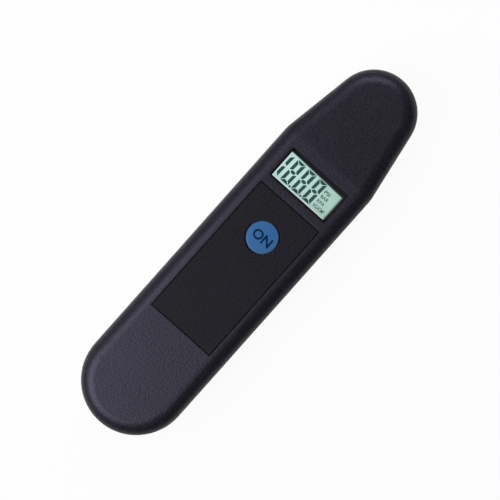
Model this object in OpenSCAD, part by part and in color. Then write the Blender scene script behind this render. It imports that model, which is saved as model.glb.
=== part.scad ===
// Digital tire pressure gauge, lying on its back.
// +X points to the nose, +Z out of the display face; the origin is under the middle of the back.

/* [Case] */
// Overall length, rear end to nose tip
case_l = 140; // [125:1:170]
// Width of the grip
case_w = 34.2; // [33:0.1:40]
// Thickness of the grip, back face to front face
case_h = 20; // [19:0.5:24]
// Wall thickness of both shells
wall = 2; // [1.6:0.1:2.6]
// Radius of the rolled edge round the front face
front_edge_r = 4.2; // [2.5:0.1:5]
// Radius of the rolled edge round the back face
back_edge_r = 4; // [2:0.1:4.4]
// How far the sides of each shell lean in from the seam
side_lean = 0.2; // [0:0.05:0.5]
// Height of the seam between the shells
seam_z = 10; // [9:0.25:11]
// Open shadow line at the seam
seam_gap = 0.25; // [0.1:0.05:0.4]
// Height of the tongue that locates the shells
tongue_h = 1.2; // [0.8:0.1:2]
// Thickness of the front shell's lip outside the tongue
lip_t = 0.9; // [0.6:0.05:1.1]

/* [Nose] */
// Length of the nose, from where the sides draw in to the tip
nose_l = 35.4; // [32:0.2:42]
// Radius of the rounded tip in plan
nose_r = 13.4; // [12.5:0.1:14.5]
// Radius that blends each side into the nose
shoulder_r = 16; // [10:0.5:17]
// Drop of the front face from the crease to the tip
nose_drop = 3; // [0:0.1:4]
// Where the sides draw in to the start of the crease across the front face
crease_inset = 1.2; // [0:0.1:3]
// Length of the soft crease
crease_run = 1.8; // [1:0.1:4]
// Height of the nose's underside over the back face
nose_lift = 4.5; // [3.5:0.1:5.2]
// Length of the ramp up to the nose's underside
lift_run = 14; // [8:0.5:18]

/* [Face] */
// Length of the face panel
panel_l = 50; // [40:0.2:54]
// Flat strip between the panel and the rolled edge
panel_edge = 1.1; // [0.3:0.1:2]
// Thickness of the face panel
panel_t = 0.5; // [0.3:0.05:0.8]
// Gap round the face panel
panel_gap = 0.35; // [0.1:0.05:0.4]
// Bar of shell between the panel and the display window
panel_bar = 3.5; // [2.2:0.1:5]
// Display window along the gauge
window_l = 10.9; // [8:0.1:11]
// Bevel round the display window
window_bevel = 0.2; // [0.2:0.05:0.6]
// Display window to where the nose begins
window_to_nose = 2.2; // [2.2:0.1:6]

/* [Button] */
// Diameter of the button
button_d = 10.2; // [8:0.1:12]
// Button centre to the front end of the panel
button_inset = 12.5; // [9:0.1:20]
// Radial gap round the button in the shell
button_gap = 0.25; // [0.15:0.05:0.4]
// Radial gap round the button in the panel
button_ring = 0.45; // [0.3:0.05:0.8]
// How far the button stands over the face
button_proud = 0.3; // [0.1:0.05:1]
// Crown of the button's face
button_crown = 0.15; // [0.05:0.05:0.4]
// Travel of the button
button_travel = 0.5; // [0.3:0.05:0.6]
// Width of the button's flange under the shell
button_ledge = 1.1; // [0.8:0.1:1.6]
// Thickness of the button's flange
button_flange_t = 0.7; // [0.5:0.05:0.9]

/* [Display] */
// Depth of the lens face under the front face
lens_sink = 0.8; // [0.4:0.05:1.2]
// Thickness of the lens flange under the shell
lens_flange_t = 1.2; // [0.8:0.05:1.6]
// Width of the lens flange round the window
lens_ledge = 1.4; // [1:0.1:1.8]
// Thickness of each display glass
glass_t = 0.9; // [0.7:0.05:1.1]
// Margin of the display glass round the window
glass_margin = 1.4; // [1.4:0.1:2.2]
// Ledge of the back glass at each long edge, for the contacts
contact_ledge = 1.2; // [0.8:0.1:1.5]
// Height of the rubber contact strips
strip_h = 1.6; // [1.2:0.1:2.4]
// Wall of the frame round the display
frame_t = 1; // [0.8:0.1:1.2]
// Room between the frame and the side walls of the case
frame_room = 1.5; // [1:0.1:2]

/* [Board] */
// Thickness of the circuit board
board_t = 1; // [0.8:0.1:1.6]
// Width of the circuit board behind the display
board_w = 22; // [20:0.5:25]
// Width of the circuit board in the nose
board_neck_w = 19; // [18:0.5:20]
// Side of the square tact switch
switch_l = 6; // [5:0.5:7]
// Height of the tact switch's body
switch_h = 2.5; // [2:0.1:2.8]
// Diameter of the switch plunger
plunger_d = 3.5; // [3:0.1:4]
// How far the plunger stands over the switch
plunger_proud = 0.8; // [0.7:0.05:1]

/* [Nozzle] */
// Bore that takes the valve stem
mouth_d = 8.4; // [8.2:0.1:9]
// Lead-in chamfer of the bore
mouth_chamfer = 0.6; // [0.3:0.1:0.8]
// Rim of the nozzle over the back face
rim_z = 0.4; // [0.2:0.05:1]
// Diameter of the nozzle's collar
collar_d = 15.6; // [14.5:0.1:17]
// Diameter of the nozzle's threaded shank
shank_d = 12; // [11.6:0.1:13]
// Thickness of the nozzle's nut
nut_t = 2; // [1.4:0.1:2.4]
// Nut across flats
nut_flats = 15.5; // [14.5:0.1:17]
// Diameter of the valve seal
seal_d = 9.6; // [9.3:0.1:10]
// Thickness of the valve seal
seal_t = 1.8; // [1.2:0.1:2.4]
// Hole through the valve seal
seal_hole_d = 4; // [3:0.1:5]
// Diameter of the depressor pin
pin_d = 1.8; // [1.4:0.1:2.2]
// Thickness of the pin's carrier disc
carrier_t = 0.8; // [0.6:0.1:1.2]
// Metal between the carrier's chamber and the top of the nozzle
roof_t = 1; // [0.9:0.05:1.3]
// Cord of the O-ring on top of the nozzle
o_ring_cord = 0.9; // [0.7:0.05:1]
// Diameter of the O-ring at the middle of its cord
o_ring_d = 7.2; // [6:0.1:8]

/* [Sensor] */
// Side of the square sensor body
sensor_l = 11; // [10:0.5:12]
// Height of the sensor body
sensor_h = 1.8; // [1.2:0.1:2]
// Diameter of the sensor's neck
sensor_neck_d = 9.4; // [9:0.1:10]
// Length of the sensor's neck, down to the nozzle
sensor_neck_l = 1.1; // [0.4:0.1:1.6]
// Pressure port of the sensor
sensor_port_d = 1.2; // [0.8:0.1:1.6]

/* [Battery] */
// Cell centre to the rear end of the case
battery_inset = 30; // [28:0.5:36]
// Diameter of the coin cell
cell_d = 20; // [20:0.1:20.2]
// Thickness of the coin cell
cell_h = 3.2; // [2.5:0.1:3.4]
// Diameter of the battery cover
cover_d = 24; // [23.6:0.1:24.6]
// Thickness of the battery cover's face
cover_t = 1.1; // [0.9:0.05:1.3]
// Depth of the cover's face under the back face
cover_sink = 0.1; // [0.05:0.05:0.3]
// Diameter of the cover's hub
hub_d = 21.4; // [21:0.1:21.8]
// Thickness of the rim that the bayonet tabs grip
rim_t = 0.9; // [0.7:0.05:1.2]
// Thickness of the bayonet tabs
tab_t = 0.8; // [0.6:0.05:1.2]
// Width of each bayonet tab, in degrees
tab_angle = 36; // [28:1:40]
// Turn of the cover from locked to open, in degrees
cover_turn = 60; // [50:1:65]
// Length of the coin slot
slot_l = 15; // [10:0.5:18]
// Width of the coin slot
slot_w = 2; // [1.6:0.1:2.6]
// Depth of the coin slot
slot_depth = 1; // [0.6:0.05:1.4]
// Wall of the battery well
well_t = 1.4; // [1:0.1:1.6]
// Thickness of the contact leaves
leaf_t = 0.3; // [0.2:0.05:0.4]
// Width of the contact leaves
leaf_w = 4; // [3:0.5:5]

/* [Screws] */
// Diameter of the case screws
case_screw_d = 2.2; // [1.8:0.1:2.6]
// Head diameter of the case screws
case_head_d = 4; // [3.6:0.1:4.2]
// Head height of the case screws
case_head_h = 1.3; // [1:0.1:1.6]
// Depth of the head's seat in the back
case_seat_z = 3.2; // [2.6:0.1:4]
// Height at which the screw posts of the two shells meet
post_z = 8; // [7:0.25:9]
// Diameter of the screw posts
post_d = 6.4; // [6:0.1:6.6]
// Rear screws to the rear end of the case
rear_screw_inset = 10; // [9:0.5:12]
// Rear screws, side to side
rear_screw_span = 13; // [10:0.5:14]
// Front screws to the display window
front_screw_inset = 8; // [7.4:0.1:9]
// Front screws, side to side
front_screw_span = 20.4; // [19:0.2:21]
// Diameter of the board screws
board_screw_d = 1.8; // [1.4:0.1:2]
// Head diameter of the board screws
board_head_d = 3.4; // [3:0.1:3.6]
// Diameter of the board's posts
board_post_d = 4.4; // [4:0.1:4.6]

/* [Fits] */
// Clearance of pieces that locate in each other
fit = 0.1; // [0.05:0.01:0.15]
// Radial gap round the pieces of the turning cover
turn_gap = 0.2; // [0.15:0.05:0.3]
// Radial clearance of the plunger in the switch
slide_gap = 0.06; // [0.03:0.01:0.1]
// Radial clearance of a screw in its pilot hole
pilot_gap = 0.02; // [0.01:0.01:0.05]

/* [Hidden] */
$fn = 64;
// Overshoot of a cut past the face it opens
cut = 1;

// Places along the gauge
half_l = case_l / 2;
nozzle_x = half_l - nose_r;
shoulder_x = half_l - nose_l;
rear_x = case_w / 2 - half_l;
window_x = shoulder_x - window_to_nose - window_l / 2;
panel_end_x = window_x - window_l / 2 - panel_bar;
panel_x = panel_end_x - panel_l / 2;
button_x = panel_end_x - button_inset;
battery_x = battery_inset - half_l;
front_screw_x = window_x - window_l / 2 - front_screw_inset;
case_screw_spots = [
    for (s = [-1, 1]) [rear_screw_inset - half_l, s * rear_screw_span / 2],
    for (s = [-1, 1]) [front_screw_x, s * front_screw_span / 2]
];

// Plan outline, as points with their outward normals, from the nose tip round +Y to the rear end
nose_steps = 14;
taper_steps = 9;
shoulder_steps = 4;
side_steps = 3;
rear_steps = 16;
edge_steps = 6;
nose_run = nozzle_x - shoulder_x;
shoulder_y = case_w / 2 - shoulder_r;
taper = acos((nose_r - shoulder_r) / norm([nose_run, shoulder_y])) - atan2(nose_run, shoulder_y);
lift_end_x = nozzle_x - collar_d / 2 - nose_lift;
lift_x = lift_end_x - lift_run;
side_end_x = min(lift_x, shoulder_x - side_steps);
function arc_point(centre, r, a) = [centre.x + r * cos(a), centre.y + r * sin(a), cos(a), sin(a)];
nose_end = arc_point([nozzle_x, 0], nose_r, 90 - taper);
shoulder_start = arc_point([shoulder_x, shoulder_y], shoulder_r, 90 - taper);
half_outline = [
    for (i = [0:nose_steps]) arc_point([nozzle_x, 0], nose_r, (90 - taper) * i / nose_steps),
    for (i = [1:taper_steps - 1]) nose_end + (shoulder_start - nose_end) * i / taper_steps,
    for (i = [0:shoulder_steps])
        arc_point([shoulder_x, shoulder_y], shoulder_r, 90 - taper * (1 - i / shoulder_steps)),
    for (i = [1:side_steps])
        [shoulder_x + (side_end_x - shoulder_x) * i / side_steps, case_w / 2, 0, 1],
    for (i = [0:rear_steps]) arc_point([rear_x, 0], case_w / 2, 90 + 90 * i / rear_steps)
];
half_count = len(half_outline);
ring_count = 2 * half_count - 2;
outline = [
    each half_outline,
    for (i = [half_count - 2:-1:1]) let (p = half_outline[i]) [p[0], -p[1], p[2], -p[3]]
];

// Heights of the front face and of the underside along the gauge
nose_slope = nose_drop / (nose_l - crease_inset - crease_run / 2);
function front_z(x) =
    let (run = x - shoulder_x - crease_inset)
    run <= 0 ? case_h :
    run < crease_run ? case_h - nose_slope * run * run / (2 * crease_run) :
    case_h - nose_slope * (run - crease_run / 2);
function back_z(x) =
    x <= lift_x ? 0 :
    x >= lift_end_x ? nose_lift :
    nose_lift * (1 - cos(180 * (x - lift_x) / lift_run)) / 2;

// Heights of the stack under the display
ceiling_z = case_h - wall;
glass_top_z = ceiling_z - lens_flange_t;
board_top_z = glass_top_z - 2 * glass_t - strip_h;
board_z = board_top_z - board_t;
panel_floor_z = case_h - panel_t;
plunger_top_z = board_top_z + switch_h + plunger_proud;
button_flange_top_z = ceiling_z - fit;
button_flange_z = button_flange_top_z - button_flange_t;

// Sizes of the display and of the board that carries it
glass_l = window_l + 2 * glass_margin;
frame_l = glass_l + 2 * (fit + frame_t);
frame_w = case_w - 2 * (wall + frame_room);
glass_w = frame_w - 2 * (fit + frame_t);
window_w = glass_w - 2 * glass_margin;
panel_w = case_w - 2 * (side_lean + front_edge_r + panel_edge);
board_margin = 0.5;
board_wing_w = frame_w + 2 * board_margin;
board_end_r = board_neck_w / 2;
board_rear_x = battery_x - cell_d / 2;
board_front_x = window_x + frame_l / 2 + board_margin;
board_post_x = [battery_x + cover_d / 2 + board_post_d, board_front_x + board_post_d];
board_post_y = board_neck_w / 2 - board_post_d / 2;
board_screw_spots = [for (x = board_post_x, s = [-1, 1]) [x, s * board_post_y]];

// Heights and radii inside the nozzle
chamber_h = 0.5;
nozzle_top_z = board_z - sensor_h - sensor_neck_l;
chamber_z = nozzle_top_z - roof_t;
carrier_top_z = chamber_z - chamber_h;
carrier_z = carrier_top_z - carrier_t;
seal_z = carrier_z - seal_t;
nut_z = nose_lift + wall;
carrier_r = mouth_d / 2 - fit;
o_ring_squeeze = 0.2;
groove_depth = (1 - o_ring_squeeze) * o_ring_cord;
groove_w = (1 + o_ring_squeeze) * o_ring_cord;
air_hole_r = 0.5;
air_hole_at = pin_d / 2 + 2 * air_hole_r;
chamber_r = air_hole_at + 2 * air_hole_r;
air_hole_count = 3;

// Heights and radii of the battery well and its cover
cover_seat_z = cover_sink + cover_t + fit;
rim_top_z = cover_seat_z + rim_t;
tab_z = rim_top_z + fit;
cell_z = tab_z + tab_t;
cell_top_z = cell_z + cell_h;
tab_r = cover_d / 2 - fit;
channel_r = tab_r + turn_gap;
notch_r = tab_r + turn_gap / 2;
well_r = channel_r + well_t;
well_top_z = cell_z + cell_h / 2;
tab_count = 3;
tab_root_r = hub_d / 4;
notch_play = 4;
notch_angle = tab_angle + notch_play;
stop_angle = 5;
stop_margin = 1;
rib_w = 1.4;
rib_step = 0.4;
rib_r = cell_d / 2 + fit;
rib_end_r = channel_r + well_t / 2;
function tab_place(k) = 90 + 360 * k / tab_count;

// Legs of the switch, leads of the chip, and the rows of small parts with their crystal
leg_w = 0.7;
leg_t = 0.25;
leg_out = 0.9;
leg_inset = 0.9;
chip_l = 7;
chip_h = 1.2;
lead_l = 0.8;
lead_w = 0.3;
lead_t = 0.2;
lead_pitch = 0.8;
lead_reach = 3;
part_l = 1.6;
part_w = 0.8;
part_h = 0.6;
part_count = 4;
row_gap = 2.4;
row_span = 8.8;
crystal_r = 1;
crystal_l = 6;

// Heights of the screws
screw_bite = 6;
case_screw_top_z = post_z + screw_bite;
board_head_h = 1.1;
board_screw_bite = 2.6;
board_screw_top_z = board_top_z + board_screw_bite;

// Rolled edge, from the flat face to the side: the pairs of inset and depth
function roll(r) = [for (i = [edge_steps:-1:0]) let (a = 90 * i / edge_steps)
    [side_lean + r * (1 - cos(a)), r * (1 - sin(a))]];

// One ring of the outline, drawn in by d, with its heights from a function of x
function ring(d, height) = [for (p = outline) let (x = p[0] - d * p[2]) [x, p[1] - d * p[3], height(x)]];

ceiling_chamfer = 1.2;
rebate_z = seam_z + tongue_h + fit;
front_rings = [
    for (e = roll(front_edge_r)) ring(e[0], function (x) front_z(x) - e[1]),
    ring(0, function (x) seam_z + seam_gap),
    ring(lip_t, function (x) seam_z + seam_gap),
    ring(lip_t, function (x) rebate_z),
    ring(wall, function (x) rebate_z),
    ring(wall, function (x) front_z(x) - wall - ceiling_chamfer),
    ring(wall + ceiling_chamfer, function (x) front_z(x) - wall)
];
back_roll = roll(back_edge_r);
back_rings = [
    ring(wall + ceiling_chamfer, function (x) back_z(x) + wall),
    ring(wall, function (x) back_z(x) + wall + ceiling_chamfer),
    ring(wall, function (x) seam_z + tongue_h),
    ring(lip_t + fit, function (x) seam_z + tongue_h),
    ring(lip_t + fit, function (x) seam_z),
    ring(0, function (x) seam_z),
    for (i = [edge_steps:-1:0]) let (e = back_roll[i]) ring(e[0], function (x) back_z(x) + e[1])
];

// Closed shell through a list of rings, capped at both ends by strips from side to side
module loft(rings) {
    function across(i) = (ring_count - i) % ring_count;
    last = (len(rings) - 1) * ring_count;
    walls = [
        for (k = [0:len(rings) - 2], i = [0:ring_count - 1])
            let (a = k * ring_count, b = a + ring_count, j = (i + 1) % ring_count)
            each [[b + i, a + i, a + j], [b + i, a + j, b + j]]
    ];
    strips = [
        for (i = [0:half_count - 2])
            each [
                if (i < half_count - 2) [across(i + 1), i + 1, i],
                if (i == half_count - 2) [i + 1, i, across(i)],
                if (i > 0 && i < half_count - 2) [across(i), across(i + 1), i]
            ]
    ];
    far_strips = [for (s = strips) [last + s[2], last + s[1], last + s[0]]];
    polyhedron(points = [for (r = rings) each r], faces = concat(walls, strips, far_strips));
}

// Upright rod, and block centred on the axis, between two heights
module rod(r, z0, z1) {
    translate([0, 0, z0]) cylinder(r = r, h = z1 - z0);
}
module block(l, w, z0, z1) {
    translate([-l / 2, -w / 2, z0]) cube([l, w, z1 - z0]);
}
// Part of a ring from angle a0 to a1
module sector(r0, r1, z0, z1, a0, a1) {
    rotate([0, 0, a0])
        rotate_extrude(angle = a1 - a0)
            translate([r0, z0]) square([r1 - r0, z1 - z0]);
}
module at(spots) {
    for (p = spots) translate([p[0], p[1], 0]) children();
}

// Rectangular opening with a bevelled upper edge
module bevelled_opening(l, w, z0, z1, bevel) {
    module prism(size, depth) {
        rotate([90, 0, 0])
            translate([0, 0, -depth / 2])
                linear_extrude(depth)
                    polygon([
                        [-size / 2, z0], [size / 2, z0], [size / 2, z1 - bevel],
                        [size / 2 + bevel + cut, z1 + cut], [-size / 2 - bevel - cut, z1 + cut],
                        [-size / 2, z1 - bevel]
                    ]);
    }
    reach = 2 * (bevel + cut);
    intersection() {
        prism(l, w + reach);
        rotate([0, 0, 90]) prism(w, l + reach);
    }
}

module front_shell() {
    color([0.22, 0.21, 0.26])
        difference() {
            union() {
                loft(front_rings);
                for (p = case_screw_spots)
                    translate([p[0], p[1], 0]) rod(post_d / 2, post_z, ceiling_z + wall / 2);
                for (p = board_screw_spots)
                    translate([p[0], p[1], 0])
                        rod(board_post_d / 2, board_top_z, front_z(p[0]) - wall / 2);
            }
            translate([panel_x, 0, 0])
                block(panel_l + 2 * panel_gap, panel_w + 2 * panel_gap, panel_floor_z, case_h + cut);
            translate([button_x, 0, 0])
                rod(button_d / 2 + button_gap, ceiling_z - cut, case_h + cut);
            translate([window_x, 0, 0])
                bevelled_opening(window_l, window_w, ceiling_z - cut, case_h, window_bevel);
            at(case_screw_spots) rod(case_screw_d / 2 + pilot_gap, post_z - cut, case_screw_top_z + cut);
            at(board_screw_spots)
                rod(board_screw_d / 2 + pilot_gap, board_top_z - cut, board_screw_top_z + cut / 2);
        }
}

module back_shell() {
    color([0.2, 0.19, 0.24]) {
        difference() {
            union() {
                loft(back_rings);
                at(case_screw_spots) rod(post_d / 2, wall / 2, post_z);
                translate([battery_x, 0, 0]) rod(well_r, wall / 2, well_top_z);
            }
            at(case_screw_spots) {
                rod(case_head_d / 2 + turn_gap, -cut, case_seat_z);
                rod(case_screw_d / 2 + fit, 0, post_z + cut);
            }
            translate([battery_x, 0, 0]) {
                rod(cover_d / 2 + turn_gap, -cut, cover_seat_z);
                rod(hub_d / 2 + turn_gap, 0, rim_top_z + cut);
                rod(channel_r, rim_top_z, well_top_z + cut);
                for (k = [0:tab_count - 1])
                    sector(tab_root_r, notch_r, cover_seat_z - cut / 2, rim_top_z + cut,
                        tab_place(k) - cover_turn - notch_angle / 2,
                        tab_place(k) - cover_turn + notch_angle / 2);
            }
            translate([nozzle_x, 0, 0]) rod(shank_d / 2 + fit, 0, nut_z + cut);
        }
        translate([battery_x, 0, 0]) {
            for (k = [0:tab_count - 1]) {
                lock_stop = tab_place(k) + tab_angle / 2 + stop_margin;
                open_stop = tab_place(k) - cover_turn - notch_angle / 2 - stop_margin;
                for (a = [lock_stop, open_stop - stop_angle])
                    sector(hub_d / 2 + 2 * turn_gap, rib_end_r, rim_top_z - rim_t / 2,
                        cell_z, a, a + stop_angle);
            }
            for (k = [0:tab_count - 1])
                rotate([0, 0, tab_place(k) - cover_turn])
                    translate([(rib_r + rib_end_r) / 2, 0, 0])
                        block(rib_end_r - rib_r, rib_w, cell_z + fit, well_top_z - rib_step);
        }
    }
}

module face_panel() {
    color([0.13, 0.13, 0.15])
        difference() {
            translate([panel_x, 0, 0]) block(panel_l, panel_w, panel_floor_z, case_h);
            translate([button_x, 0, 0])
                rod(button_d / 2 + button_ring, panel_floor_z - cut, case_h + cut);
        }
}

module on_button() {
    rim = 0.4;
    rim_steps = 3;
    crown_steps = 4;
    stem_r = plunger_d / 2 - 2 * slide_gap;
    top_z = case_h + button_proud;
    color([0.2, 0.43, 0.72])
        translate([button_x, 0, 0])
            rotate_extrude()
                polygon([
                    [0, plunger_top_z], [stem_r, plunger_top_z], [stem_r, button_flange_z],
                    [button_d / 2 + button_ledge, button_flange_z],
                    [button_d / 2 + button_ledge, button_flange_top_z],
                    [button_d / 2, button_flange_top_z], [button_d / 2, top_z - rim],
                    for (i = [1:rim_steps]) let (a = 90 * i / rim_steps)
                        [button_d / 2 - rim + rim * cos(a), top_z - rim + rim * sin(a)],
                    for (i = [1:crown_steps]) let (q = 1 - i / crown_steps)
                        [(button_d / 2 - rim) * q, top_z + button_crown * (1 - q * q)]
                ]);
}

module switch_plunger() {
    lead = 0.2;
    foot_z = board_top_z + switch_h / 2;
    color([0.15, 0.15, 0.16])
        translate([button_x, 0, 0])
            rotate_extrude()
                polygon([
                    [0, foot_z], [plunger_d / 2, foot_z], [plunger_d / 2, plunger_top_z - lead],
                    [plunger_d / 2 - lead, plunger_top_z], [0, plunger_top_z]
                ]);
}

module switch_body() {
    well_z = board_top_z + switch_h / 2 - button_travel - fit;
    color([0.75, 0.76, 0.78])
        translate([button_x, 0, 0])
            difference() {
                union() {
                    block(switch_l, switch_l, board_top_z, board_top_z + switch_h);
                    for (s = [-1, 1])
                        translate([0, s * (switch_l / 2 - leg_inset), 0])
                            block(switch_l + 2 * leg_out, leg_w, board_top_z, board_top_z + leg_t);
                }
                rod(plunger_d / 2 + slide_gap, well_z, board_top_z + switch_h + cut);
            }
}

module lcd_lens() {
    color([0.85, 0.9, 0.92, 0.4])
        translate([window_x, 0, 0])
            union() {
                block(window_l + 2 * lens_ledge, window_w + 2 * lens_ledge, glass_top_z, ceiling_z);
                block(window_l - 2 * fit, window_w - 2 * fit, glass_top_z, case_h - lens_sink);
            }
}

module lcd_front_glass() {
    color([0.72, 0.83, 0.76])
        translate([window_x, 0, 0])
            block(glass_l - 2 * contact_ledge, glass_w, glass_top_z - glass_t, glass_top_z);
}

module lcd_back_glass() {
    color([0.62, 0.73, 0.66])
        translate([window_x, 0, 0])
            block(glass_l, glass_w, glass_top_z - 2 * glass_t, glass_top_z - glass_t);
}

module lcd_frame() {
    color([0.9, 0.9, 0.88])
        translate([window_x, 0, 0])
            difference() {
                block(frame_l, frame_w, board_top_z, glass_top_z);
                block(glass_l + 2 * fit, glass_w + 2 * fit, board_top_z - cut, glass_top_z + cut);
            }
}

module zebra_strips() {
    strip_l = contact_ledge + fit;
    color([0.25, 0.25, 0.27])
        for (s = [-1, 1])
            translate([window_x + s * (glass_l - strip_l) / 2, 0, 0])
                block(strip_l, glass_w, board_top_z, board_top_z + strip_h);
}

module circuit_board() {
    color([0.1, 0.42, 0.22])
        difference() {
            union() {
                translate([(board_rear_x + board_front_x) / 2, 0, 0])
                    block(board_front_x - board_rear_x, board_w, board_z, board_top_z);
                translate([window_x, 0, 0])
                    block(frame_l + 2 * board_margin, board_wing_w, board_z, board_top_z);
                translate([(board_front_x + nozzle_x) / 2, 0, 0])
                    block(nozzle_x - board_front_x, board_neck_w, board_z, board_top_z);
                translate([nozzle_x, 0, 0]) rod(board_end_r, board_z, board_top_z);
            }
            at(case_screw_spots) rod(post_d / 2 + 2 * fit, board_z - cut, board_top_z + cut);
            at(board_screw_spots) rod(board_screw_d / 2 + fit, board_z - cut, board_top_z + cut);
        }
}

module driver_chip() {
    color([0.12, 0.12, 0.13])
        translate([button_x - switch_l - chip_l, 0, 0]) {
            block(chip_l, chip_l, board_top_z, board_top_z + chip_h);
            for (a = [0, 90], i = [-lead_reach:lead_reach])
                rotate([0, 0, a])
                    translate([0, i * lead_pitch, 0])
                        block(chip_l + 2 * lead_l, lead_w, board_top_z, board_top_z + lead_t);
        }
}

module board_components() {
    row_x = button_x - 3 * switch_l - part_l;
    color([0.72, 0.62, 0.42]) {
        for (i = [0:part_count - 1], s = [-1, 1])
            translate([row_x - i * row_gap, s * row_span / 2, 0])
                block(part_l, part_w, board_top_z, board_top_z + part_h);
        translate([row_x - 2 * row_gap, 0, board_top_z + crystal_r])
            rotate([0, 90, 0]) cylinder(r = crystal_r, h = crystal_l, center = true);
    }
}

module pressure_sensor() {
    color([0.85, 0.84, 0.8])
        translate([nozzle_x, 0, 0])
            difference() {
                union() {
                    block(sensor_l, sensor_l, board_z - sensor_h, board_z);
                    rod(sensor_neck_d / 2, nozzle_top_z, board_z - sensor_h);
                }
                rod(sensor_port_d / 2, nozzle_top_z - cut, board_z - sensor_h / 2);
            }
}

module sensor_o_ring() {
    color([0.1, 0.1, 0.1])
        translate([nozzle_x, 0, nozzle_top_z - groove_depth / 2])
            rotate_extrude()
                translate([o_ring_d / 2, 0])
                    intersection() {
                        circle(d = o_ring_cord);
                        square([2 * o_ring_cord, groove_depth], center = true);
                    }
}

module nozzle_body() {
    collar_r = collar_d / 2;
    shank_r = shank_d / 2;
    mouth_r = mouth_d / 2;
    port_r = sensor_port_d / 2;
    edge = mouth_chamfer;
    groove_r = o_ring_d / 2;
    color([0.78, 0.62, 0.3])
        translate([nozzle_x, 0, 0])
            rotate_extrude()
                polygon([
                    [mouth_r + edge, rim_z], [collar_r - edge, rim_z], [collar_r, rim_z + edge],
                    [collar_r, nose_lift], [shank_r, nose_lift], [shank_r, nozzle_top_z],
                    [groove_r + groove_w / 2, nozzle_top_z],
                    [groove_r + groove_w / 2, nozzle_top_z - groove_depth],
                    [groove_r - groove_w / 2, nozzle_top_z - groove_depth],
                    [groove_r - groove_w / 2, nozzle_top_z],
                    [port_r, nozzle_top_z], [port_r, chamber_z],
                    [chamber_r, chamber_z], [chamber_r, carrier_top_z],
                    [carrier_r + fit / 2, carrier_top_z], [carrier_r + fit / 2, carrier_z],
                    [seal_d / 2, carrier_z], [seal_d / 2, seal_z],
                    [mouth_r, seal_z], [mouth_r, rim_z + edge]
                ]);
}

module nozzle_nut() {
    corner_r = nut_flats / 2 / cos(30);
    edge = 0.5;
    color([0.75, 0.6, 0.32])
        translate([nozzle_x, 0, 0])
            difference() {
                intersection() {
                    translate([0, 0, nut_z]) cylinder(r = corner_r, h = nut_t, $fn = 6);
                    rotate_extrude()
                        polygon([
                            [0, nut_z], [corner_r, nut_z], [corner_r, nut_z + nut_t - edge],
                            [corner_r - 2 * edge, nut_z + nut_t], [0, nut_z + nut_t]
                        ]);
                }
                rod(shank_d / 2 + fit / 2, nut_z - cut, nut_z + nut_t + cut);
            }
}

module valve_seal() {
    lead = 0.4;
    hole_r = seal_hole_d / 2;
    color([0.12, 0.12, 0.12])
        translate([nozzle_x, 0, 0])
            rotate_extrude()
                polygon([
                    [hole_r + lead, seal_z], [seal_d / 2, seal_z], [seal_d / 2, carrier_z],
                    [hole_r, carrier_z], [hole_r, seal_z + lead]
                ]);
}

module depressor_pin() {
    tip = 0.3;
    tip_z = seal_z + 2 * fit;
    color([0.8, 0.66, 0.36])
        translate([nozzle_x, 0, 0])
            difference() {
                rotate_extrude()
                    polygon([
                        [0, tip_z], [pin_d / 2 - tip, tip_z], [pin_d / 2, tip_z + tip],
                        [pin_d / 2, carrier_z], [carrier_r, carrier_z],
                        [carrier_r, carrier_top_z], [0, carrier_top_z]
                    ]);
                for (i = [0:air_hole_count - 1])
                    rotate([0, 0, 360 * i / air_hole_count])
                        translate([air_hole_at, 0, 0])
                            rod(air_hole_r, carrier_z - cut, carrier_top_z + cut);
            }
}

module coin_cell() {
    edge = 0.3;
    crimp = 0.5;
    gasket_w = 0.4;
    cap_r = cell_d / 2 - crimp - 2 * gasket_w;
    color([0.78, 0.78, 0.79])
        translate([battery_x, 0, 0])
            rotate_extrude()
                polygon([
                    [0, cell_z], [cell_d / 2 - edge, cell_z], [cell_d / 2, cell_z + edge],
                    [cell_d / 2, cell_top_z - 2 * edge], [cell_d / 2 - crimp, cell_top_z - edge],
                    [cap_r + gasket_w, cell_top_z - edge], [cap_r + gasket_w, cell_top_z - 2 * edge],
                    [cap_r, cell_top_z - 2 * edge], [cap_r, cell_top_z - edge],
                    [cap_r - edge, cell_top_z], [0, cell_top_z]
                ]);
}

// Bent strip of sheet, seen from the side along Y: the path is one face of the sheet
module leaf(path) {
    count = len(path);
    function turned(v) = [v.y, -v.x] / norm(v);
    function face(i) = turned(path[i + 1] - path[i]);
    function shift(i) =
        i == 0 ? face(0) :
        i == count - 1 ? face(count - 2) :
        (face(i - 1) + face(i)) / (1 + face(i - 1) * face(i));
    far = [for (i = [count - 1:-1:0]) path[i] + leaf_t * shift(i)];
    rotate([90, 0, 0])
        translate([0, 0, -leaf_w / 2])
            linear_extrude(leaf_w) polygon(concat(path, far));
}

module positive_contact() {
    reach = 1.2;
    foot = 3;
    rim_x = battery_x + cell_d / 2;
    touch_z = cell_top_z - reach;
    color([0.8, 0.72, 0.5])
        leaf([
            [rim_x + reach / 2, touch_z - reach / 2], [rim_x, touch_z],
            [rim_x + reach, cell_top_z + reach],
            [rim_x + reach, board_z], [rim_x + reach + foot, board_z]
        ]);
}

module negative_contact() {
    rise = 0.5;
    tip = 2;
    foot = 3;
    run = 6.6;
    color([0.8, 0.72, 0.5])
        leaf([
            [battery_x + tip, cell_top_z + rise], [battery_x, cell_top_z],
            [battery_x - run, board_z - leaf_t - rise], [battery_x - run, board_z - leaf_t],
            [battery_x - run - foot, board_z - leaf_t]
        ]);
}

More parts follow.
